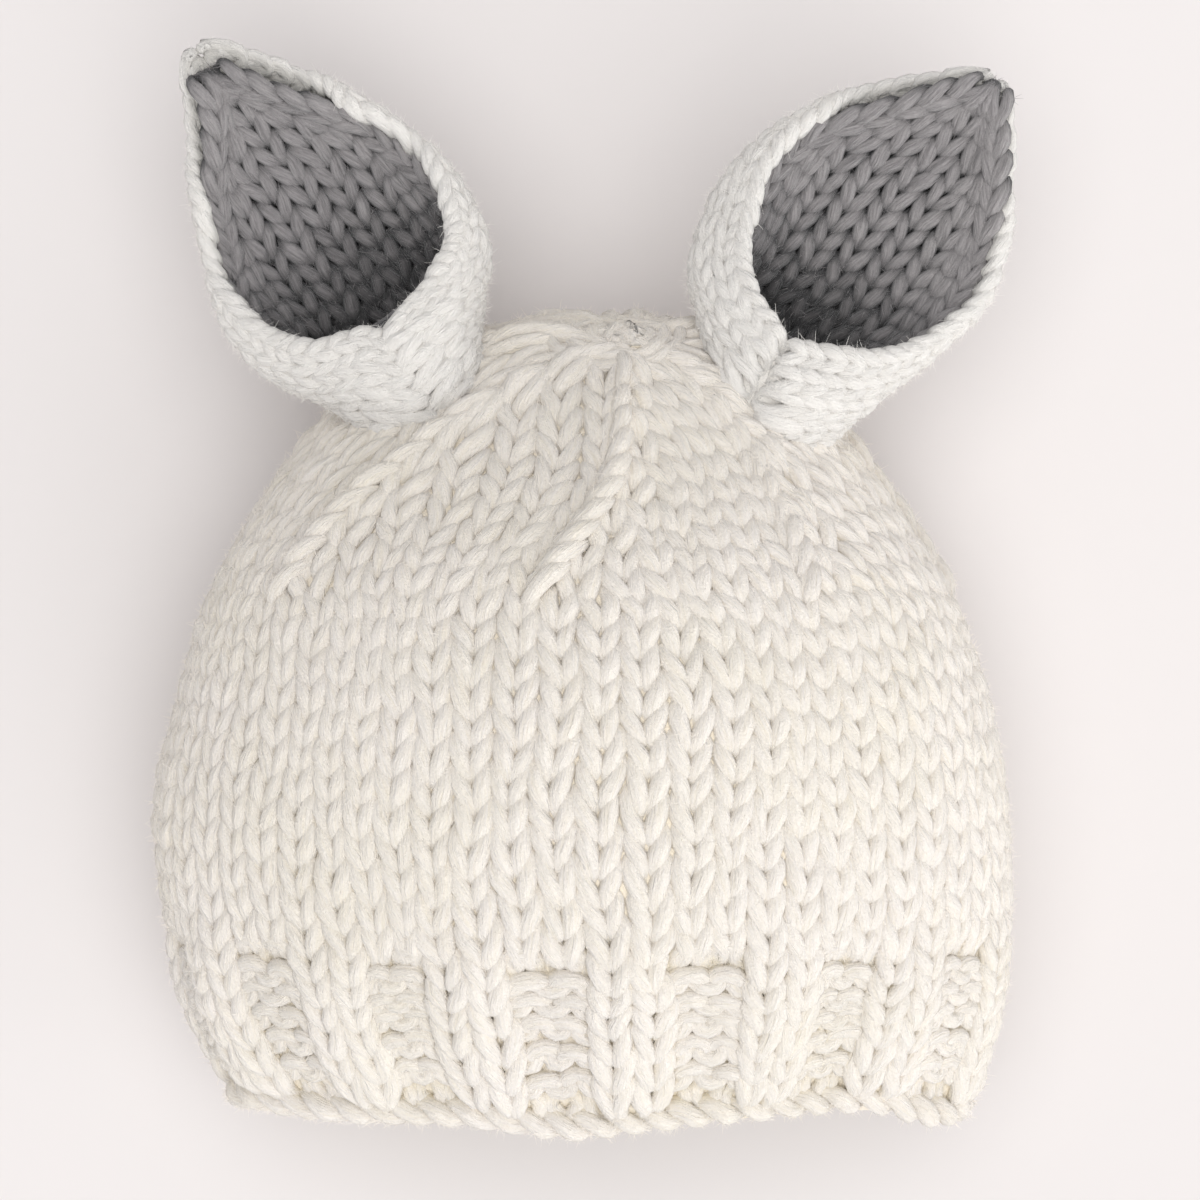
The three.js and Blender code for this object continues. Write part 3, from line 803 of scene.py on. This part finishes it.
WOOLS = {
    # undyed wool: a warm white; its fibre streaks and the painted shade in its hollows are yellow
    "cream_wool": wool(
        "cream hand-knitted wool", "#fdf6ee", "#eddba9", "#fbf4e9", 0.15, 0.7, (0.22, 0.7), 0.6
    ),
    # bleached wool: a cooler white, with light grey fibre streaks and light grey painted shade in its
    # hollows
    "white_wool": wool(
        "white hand-knitted wool", "#f8f4ee", "#c9c5bd", "#f5f1eb", 0.15, 0.8, (0.2, 0.65), 0.6
    ),
    # dyed wool: a mid grey with dark streaks between its fibres and nearly black painted shade in its
    # hollows
    "grey_wool": wool(
        "grey hand-knitted wool", "#a29d9d", "#141314", "#aba6a5", 0.45, 0.95, (0.05, 0.3), 0.35
    ),
}

# The body: band, plain rows and crown, as closed rounds

# How far columns stray from an even spacing, in stitches, against their distance from the middle
STRAY = [
    [-28, 0], [-14, 0], [-7, 0.1], [-5, -0.2], [-3, -0.28], [0, 0],
    [3, 0.28], [5, 0.2], [7, -0.1], [14, 0], [28, 0],
]
PLAIN_END = RIB_ROWS + PLAIN_ROWS
# How far the band's knit columns are drawn together, in stitches
RIB_DRAW = 0.17


def strayed(shares, row):
    """Places round the hat with their columns' stray, which fades out up the crown."""
    stitches = shares * STITCHES
    from_top = (stitches - 1 + STITCHES / 2) % STITCHES - STITCHES / 2
    stray = read(STRAY, from_top)[0] * (1 - ease(row, PLAIN_END - 4, PLAIN_END + 4))
    drawn = RIB_DRAW * np.sin(TURN * stitches / RIB_REPEAT) * (1 - ease(row, RIB_ROWS - 1, RIB_ROWS + 3))
    return shares + (stray - drawn) / STITCHES


# How far the crown's columns stray, in stitches, against their distance from the middle line
CROWN_STRAY = [[-28, 0], [-16, -0.8], [-8, -0.7], [0, 0.5], [8, -1.3], [16, -0.8], [28, 0]]


def drawn_aside(shares, row):
    """Places round the crown with its stray, which grows up the crown."""
    from_line = (shares * STITCHES + STITCHES / 2) % STITCHES - STITCHES / 2
    grown = ease(row, PLAIN_END - 1, PLAIN_END + 6)
    return strayed(shares, row) + read(CROWN_STRAY, from_line)[0] * grown / STITCHES


def knit_rounds(face, rib, lower_body, upper_body):
    """The band's knit and purl columns, and the plain rows above them."""
    sides = np.arange(STITCHES + 1) / STITCHES
    purl_columns = np.isin(np.arange(STITCHES) % RIB_REPEAT, [0, RIB_REPEAT - 1])
    for row in range(PLAIN_END - 1):
        ribbed = row < RIB_ROWS
        skein = rib if ribbed else lower_body if row < RIB_ROWS + PLAIN_ROWS / 2 else upper_body
        lines = np.repeat(strayed(sides, row)[:, None], len(LOOP_LEVELS), axis=1)
        kinds = np.where(purl_columns & ribbed, -1, 1)
        knit(skein, face, HAT_YARN, row, lines[:-1], lines[1:], kinds, closed=True)


# How many columns wide a sector of the crown is, at each row from the first level on. The columns
# run along the decrease line on their right, and the one on their left takes them up.
FIRST_LEVEL = 17.5
SECTOR_COLUMNS = [8, 7.45, 6.95, 6.45, 5.95, 5.45, 4.9, 4.35, 3.75, 3.0, 2.1, 1.2, 1.0]
# In narrower sectors the stitch that takes others up is raised and thicker
FULL_SECTOR = 7
TAKEN_UP_LIFT = 0.6
TAKEN_UP_GAUGE = 1.1
# Over these rows the crown's stitches take less painted shade, as if they lay this much less deep
LIGHTER_SHADE_ROWS = (23, 27)
LIGHTER_SHADE_DEPTH = 1.6


def knit_crown(face, crown):
    """The crown's rows, each with fewer stitches in its sectors, up to the tip."""
    widest = SECTOR_COLUMNS[0]
    table = [[FIRST_LEVEL + k, columns] for k, columns in enumerate(SECTOR_COLUMNS)]
    for row, number in enumerate([widest] + CROWN_COUNTS, PLAIN_END - 1):
        levels = row + LOOP_LEVELS
        columns = read(table, np.clip(levels, FIRST_LEVEL, table[-1][0]))[0]
        columns = np.where(levels < FIRST_LEVEL, widest, columns)
        inner = np.arange(number)[::-1, None] * np.ones(len(levels))
        outer = np.concatenate([[columns], inner[1:] + 1])
        ends = (np.arange(SECTORS)[:, None, None] + 1) / SECTORS
        lefts, rights = (
            np.stack([drawn_aside(*line) for line in zip(np.concatenate(lines).T, levels)], 1)
            for lines in (ends - outer / (SECTORS * columns), ends - inner / (SECTORS * columns))
        )
        takers = np.tile(np.arange(number) == 0, SECTORS) & (number < FULL_SECTOR)
        knit(
            crown, face, HAT_YARN, row, lefts, rights, lift=np.where(takers, TAKEN_UP_LIFT, 0),
            gauge=np.where(takers, TAKEN_UP_GAUGE, 1), closed=True,
            shaded=-LIGHTER_SHADE_DEPTH * ease(row, *LIGHTER_SHADE_ROWS),
        )


# How far each decrease line's stitches stand out, in millimetres, from the middle line to the right
LINE_RELIEFS = [0.5, -0.6, 0, 0, 0, 0, 0.3]
# Such a stitch's start and length in rows, its lean in columns, and how deep its ends lie
LEAF_SHARES = np.linspace(0, 1, 15)
LEAF_START = -0.55
LEAF_LENGTH = 2.0
LEAF_LEAN = (-0.45, 0.4)
LEAF_SUNK = 3.4
# They narrow over these rows near the tip
LEAF_ROWS = (24, 28)


def lay_decrease_lines(face, crown):
    """At each row of a decrease line one stitch lies slantwise over its neighbour, like a leaf."""
    bulge = np.sin(math.pi * LEAF_SHARES)
    for row in range(PLAIN_END, ROWS - 1):
        narrowed = ease(row, *LEAF_ROWS)
        for sector in range(SECTORS if row < ROWS - 3 else 1):
            along = row + LEAF_START + LEAF_LENGTH * LEAF_SHARES
            slant = LEAF_LEAN[0] + (LEAF_LEAN[1] - LEAF_LEAN[0]) * LEAF_SHARES
            across = drawn_aside(sector / SECTORS + slant * (1 - 0.5 * narrowed) / STITCHES, along)
            depth = LEAF_SUNK - (LEAF_SUNK + LINE_RELIEFS[sector]) * bulge**0.7
            depth = depth + 0.15 * chance.normal()
            radii = HAT_YARN.radius * (0.5 + 0.55 * bulge**0.6) * (1 - 0.25 * narrowed)
            centres, normals = face.place(across, along, depth)
            # the leaves take the painted shade of a stitch 0.6 times as deep
            crown.add(centres, normals, radii, np.maximum(depth, 0) * 0.6, HAT_YARN, False)


# The yarn's end: the rows of its first round and of the tip, its other rounds as shares of the
# first, their yarn's radii, and how long and raised its short ends are
TIP_POINTS = 20
TIP_DEPTH = 1.0
FIRST_TIP_ROW = ROWS - 1.2
LAST_TIP_ROW = ROWS - 0.05
TIP_ROUNDS = (0.72, 0.42)
FIRST_TIP_RADIUS = 1.3
TIP_RADIUS = 1.6
TIP_END = 3.4
TIP_RISE = 0.7
TIP_SHARES = np.linspace(-1, 1, 15)


def close_tip(face, crown):
    """The yarn's end, drawn through the last stitches. Its two short ends cross over the tip."""
    u = np.arange(TIP_POINTS) / TIP_POINTS
    depths = np.full(TIP_POINTS, TIP_DEPTH)
    centres, normals = face.place(u, np.full(TIP_POINTS, FIRST_TIP_ROW), depths)
    crown.add(centres, normals, np.full(TIP_POINTS, FIRST_TIP_RADIUS), depths, HAT_YARN, True)
    tip = face.place(u, np.full(TIP_POINTS, LAST_TIP_ROW), depths)[0].mean(0)
    for share in TIP_ROUNDS:
        drawn_in = tip + (centres - tip) * share
        crown.add(drawn_in, normals, np.full(TIP_POINTS, TIP_RADIUS), depths, HAT_YARN, True)
    axis = unit(normals.mean(0))
    aside = unit(np.cross(axis, [0, 0, 1]))
    other = np.cross(axis, aside)
    shares = TIP_SHARES[:, None]
    for way in (unit(aside + other), unit(aside - other)):
        centres = tip + TIP_END * shares * way + TIP_RISE * (1 - 3 * shares**2) * axis
        radii = HAT_YARN.radius * (1.05 - 0.6 * np.abs(TIP_SHARES) ** 3)
        normals = np.broadcast_to(axis, centres.shape)
        crown.add(centres, normals, radii, np.full(len(TIP_SHARES), TIP_DEPTH), HAT_YARN, False)


# The rope's points round the hat, how far its middle stays above the surface, and the row from
# which it turns away
ROPE_POINTS = STITCHES * 16
ROPE_LIFT = 3
ROPE_ROW = 0.2


def twist_edge(plain_face, rope):
    """The rolled edge: two strands twisted into a rope, one lump beside each stitch."""
    u = np.arange(ROPE_POINTS) / ROPE_POINTS
    half_way = np.full(ROPE_POINTS, FABRIC_THICKNESS / 2)
    end, normal = plain_face.place(u, np.zeros(ROPE_POINTS), half_way)
    inner, _ = plain_face.place(u, np.full(ROPE_POINTS, ROPE_ROW), half_way)
    outwards = unit(end - inner)
    middle = end + outwards * ROPE_CENTRE
    middle[:, 2] = np.maximum(middle[:, 2], ROPE_LIFT)
    radii = np.full(ROPE_POINTS, ROPE_YARN.radius)
    for strand in range(2):
        turn = u * TURN * STITCHES / 2 + strand * math.pi
        up, out = np.cos(turn)[:, None], np.sin(turn)[:, None]
        centres = middle + ROPE_YARN.swing * (up * normal + out * outwards)
        depths = ROPE_YARN.middle - ROPE_YARN.swing * np.cos(turn)
        rope.add(centres, normal, radii, depths, ROPE_YARN, True)


# The sheets behind the loops: how much painted shade they take, and their points along and across
CORE_PAINTED_SHADE = 0.4
BODY_CELLS = (70, 225)
EAR_CELLS = (40, 60)
UNDER_CELLS = (20, 30)
# How deep the sheet lies behind the body's loops, and how much deeper in the band
BODY_CORE_DEPTH = HAT_YARN.middle - 0.85
BAND_SINK = 0.75
BAND_FADE = (RIB_ROWS - 0.2, RIB_ROWS + 1.4)


def core(name, cloth, depth, slot, margins, cells, *nodes, band_sink=0):
    """The yarn's inner fibres, as a sheet behind the loops, which takes some painted shade. margins are
    how far it stays from the cloth's first and last rows, in rows, and from its two sides, and cells
    are its points along and across. In the band it lies deeper by band_sink."""
    tall, wide = cells
    along = np.linspace(cloth.first_row + margins[0], cloth.last_row - margins[1], tall)
    along = along[:, None] * np.ones((1, wide))
    share = np.linspace(0, 1, wide)[None]
    if cloth.before is None:
        across = share * np.ones((tall, 1)) * 0.999999
    else:
        first, last = margins[2] - cloth.reach(along, -1), cloth.reach(along, 1) - margins[3]
        across = first + share * (last - first)
    depths = depth + band_sink * (1 - ease(along, *BAND_FADE))
    points = cloth.place(across, along, depths)[0].reshape(-1, 3)
    points[:, 2] = np.maximum(points[:, 2], CORE_CLEARANCE)
    made = mesh_piece(name, points, grid_quads(tall, wide), slot, nodes)
    paint_shade(made, np.full(len(points), CORE_PAINTED_SHADE))


def make_body(face, plain_face):
    """The band, the body, the crown and the rolled edge."""
    rib, lower_body, upper_body, crown, rope = (Skein() for _ in range(5))
    knit_rounds(face, rib, lower_body, upper_body)
    knit_crown(face, crown)
    lay_decrease_lines(face, crown)
    close_tip(face, crown)
    rib.piece("rib_stitches", "cream_wool", "rib_band")
    for name, skein in (("lower_body", lower_body), ("upper_body", upper_body), ("crown", crown)):
        skein.piece(f"{name}_stitches", "cream_wool", "crown")
    twist_edge(plain_face, rope)
    rope.piece("edge_rope", "cream_wool", "cast_on_edge")
    fuzz("body_fuzz", [lower_body, upper_body, crown], HAIR_NUMBERS["body"], "cream_wool", "crown")
    fuzz("band_fuzz", [rib, rope], HAIR_NUMBERS["band"], "cream_wool", "rib_band", "cast_on_edge")
    core(
        "body_core", face, BODY_CORE_DEPTH, "cream_wool", (0, 0, 0, 0), BODY_CELLS,
        "crown", "rib_band", band_sink=BAND_SINK,
    )


plain_points = body_points()
plain_normals = face_normals(plain_points, True)
plain_face = Cloth(plain_points, plain_normals, FIRST_SHARE * ROWS, ROWS)
ribbed_points = plain_points + plain_normals * relief()[..., None]
face = Cloth(ribbed_points, face_normals(ribbed_points, True), FIRST_SHARE * ROWS, ROWS)
make_body(face, plain_face)

# The ears

# The crown's surface under its loops, and how far inside it an ear's stitch is hidden
BODY_SUNK = 1.0
HIDDEN_DEPTH = 1.5
sunk_points = face.points[::4, ::5] - face.normals[::4, ::5] * BODY_SUNK
body_tree = BVHTree.FromPolygons(
    [Vector(point) for point in sunk_points.reshape(-1, 3)],
    grid_quads(*sunk_points.shape[:2]).tolist(),
)


def outside_body(points):
    """Which points aren't inside the crown, so that a stitch there can be seen."""
    kept = []
    for point in points:
        place, normal, _, _ = body_tree.find_nearest(Vector(point))
        kept.append((Vector(point) - place).dot(normal) > -HIDDEN_DEPTH)
    return np.array(kept)


# Widths of an ear's stitches, and how far inside the rim the first one lies
SHELL_WIDTH = 4.7
LINING_WIDTH = 5.6
RIM_TRIM = 1.5
# Where rows spread, their yarn is thicker
SPREAD_GAUGE = 0.7
WIDEST_SPREAD = 0.7


def shell_sides(cloth, row):
    """The stitches of a row of a shell's half, from the rim to the back's middle line."""
    reaches = cloth.reach(row + LOOP_LEVELS, 1)
    number = max(1, round((reaches[1] - RIM_TRIM) / SHELL_WIDTH))
    lines = [np.minimum(RIM_TRIM + k * SHELL_WIDTH, reaches) for k in range(number)]
    lines = np.array(lines + [reaches])
    return lines[:-1], lines[1:]


def knit_shell_half(shell, half):
    """The rows of half a shell, which spread under the mouth."""
    for row in range(math.floor(half.last_row)):
        left, right = shell_sides(half, row)
        middles = (left[:, 1] + right[:, 1]) / 2
        level = np.zeros(len(middles))
        feet, heads = (half.place(middles, level + row + up, level)[0] for up in (0.0, 1.0))
        spread = np.linalg.norm(heads - feet, axis=-1) / EAR_ROW - 1
        gauges = 1 + SPREAD_GAUGE * np.clip(spread, 0, WIDEST_SPREAD)
        knit(shell, half, SHELL_YARN, row, left, right, gauge=gauges, keep=outside_body)


def lining_sides(cloth, row):
    """The stitches of a lining row: straight columns inside, and one column along each rim."""
    halves = []
    for side in (-1, 1):
        reaches = cloth.reach(row + LOOP_LEVELS, side)
        inner = np.maximum(reaches - LINING_WIDTH * 0.9, 0.2)
        number = max(1, round(inner[1] / LINING_WIDTH))
        lines = [np.minimum((k + 0.5) * LINING_WIDTH, inner) for k in range(number)]
        halves.append(np.array(lines + [inner, reaches]))
    lines = np.concatenate([-halves[0][::-1], halves[1]])
    return lines[:-1], lines[1:]


# Painted shade down in the cup: how much deeper the lining's stitches count for it, fading over these
# rows
CUP_SHADE_ROWS = (2, 9)
CUP_SHADE_DEPTH = 1.3


def knit_lining(lining, inside):
    """The rows of a lining, with painted shade down in the cup."""
    for row in range(math.ceil(inside.first_row), math.floor(inside.last_row)):
        left, right = lining_sides(inside, row)
        shaded = CUP_SHADE_DEPTH * (1 - ease(row, *CUP_SHADE_ROWS))
        knit(lining, inside, LINING_YARN, row, left, right, keep=outside_body, shaded=shaded)


# The rounds of yarn in an ear's neck: where the outer one lies and how much deeper the inner ones
# do, as shares of the ear's length, and the wall around them in millimetres
NECK_END = 0.1
NECK_HOLLOW = 0.02
NECK_ROUNDS = 5
NECK_FIRST = 0.08
NECK_WALL = 4.6
NECK_POINTS = 28
# how deep the neck's rounds count for their painted shade, in millimetres
NECK_DEPTH = 2.6


def close_neck(lining, side):
    """Rounds of yarn close the cup's end, in the ear's neck."""
    turn = np.linspace(0, TURN, NECK_POINTS, endpoint=False)
    radii, depths = np.full(NECK_POINTS, NECK_YARN.radius), np.full(NECK_POINTS, NECK_DEPTH)
    for share in np.arange(NECK_ROUNDS) / NECK_ROUNDS + NECK_FIRST:
        at = np.full(NECK_POINTS, NECK_END - NECK_HOLLOW * (1 - share**2))
        middle, half, _, _, lift, below, above = (part[:, 0] for part in ear_sections(side, at))
        across = middle + (half - NECK_WALL) * share * np.sin(turn)
        tall = np.where(np.cos(turn) > 0, above, below) - NECK_WALL
        centres = ear_in_place(side, at, across, lift + tall * share * np.cos(turn))
        out = ear_in_place(side, at + 1, across, lift) - ear_in_place(side, at, across, lift)
        lining.add(centres, unit(out), radii, depths, NECK_YARN, True)


# How deep the sheets behind an ear's loops lie, and how far inside its edges
SHELL_CORE_DEPTH = 1.9
SHELL_CORE_MARGINS = (1.5, 0, RIM_TRIM + 2.2, 0)
LINING_CORE_DEPTH = 2.7
LINING_CORE_MARGINS = (0.9, 0.9, 2.0, 2.0)
UNDER_DEPTH = 4.3
UNDER_MARGIN = 4.5
UNDER_START = 0.45


def make_ear(side):
    """An ear's white shell in two halves, and its grey lining."""
    ear, inside = ear_face(side), lining_face(side)
    shell_node, lining_node = f"ear_{side}_shell", f"ear_{side}_lining"
    shell, lining = Skein(), Skein()
    for sign, name in ((-1, "left"), (1, "right")):
        half = shell_half(ear, sign)
        knit_shell_half(shell, half)
        core(
            f"{shell_node}_core_{name}", half, SHELL_CORE_DEPTH, "white_wool",
            SHELL_CORE_MARGINS, EAR_CELLS, shell_node,
        )
        # a grey sheet carries the lining on under the shell's overhanging rims; its painted shade makes
        # it nearly black
        core(
            f"{lining_node}_under_{name}", half, UNDER_DEPTH, "grey_wool",
            (half.last_row * UNDER_START, 0, UNDER_MARGIN, 0), UNDER_CELLS, lining_node,
        )
    knit_lining(lining, inside)
    close_neck(lining, side)
    core(
        f"{lining_node}_core", inside, LINING_CORE_DEPTH, "grey_wool",
        LINING_CORE_MARGINS, EAR_CELLS, lining_node,
    )
    shell.piece(f"{shell_node}_stitches", "white_wool", shell_node)
    lining.piece(f"{lining_node}_stitches", "grey_wool", lining_node)
    fuzz(f"{shell_node}_fuzz", [shell], HAIR_NUMBERS["shell"], "white_wool", shell_node)
    fuzz(f"{lining_node}_fuzz", [lining], HAIR_NUMBERS["lining"], "grey_wool", lining_node)


for side in EAR_SEATS:
    make_ear(side)

# The surface, light and camera

bpy.ops.mesh.primitive_plane_add(size=4)
floor = bpy.context.object
floor.name = "floor"
floor.data.materials.append(matt_paper())


def window(name, way, strength, width):
    """A wide soft light that shines one way, width degrees wide."""
    light = bpy.data.lights.new(name, "SUN")
    light.energy = strength
    light.angle = math.radians(width)
    placed = bpy.data.objects.new(name, light)
    placed.rotation_mode = "QUATERNION"
    placed.rotation_quaternion = Vector(way).to_track_quat("-Z", "Y")
    bpy.context.scene.collection.objects.link(placed)


window("ceiling light", (0, 0, -1), 1.5, 60)
window("front window", (-0.28, 0.76, -0.54), 1.25, 60)
window("side window", (-1, 0.25, -0.07), 1.2, 40)

# daylight from all round the room
world = bpy.data.worlds.new("room")
world.use_nodes = True
daylight = {"Color": linear("#fcfcff"), "Strength": 0.5}
fill(world.node_tree, world.node_tree.nodes["Background"], daylight)
bpy.context.scene.world = world

# straight above the hat, framed as in the photo
camera_data = bpy.data.cameras.new("camera")
camera_data.sensor_width = 36
camera_data.lens = 121.6
camera = bpy.data.objects.new("camera", camera_data)
camera.location = (0.0029, 0.0259, 0.73)
bpy.context.scene.collection.objects.link(camera)
bpy.context.scene.camera = camera
bpy.context.scene.view_settings.view_transform = "Standard"
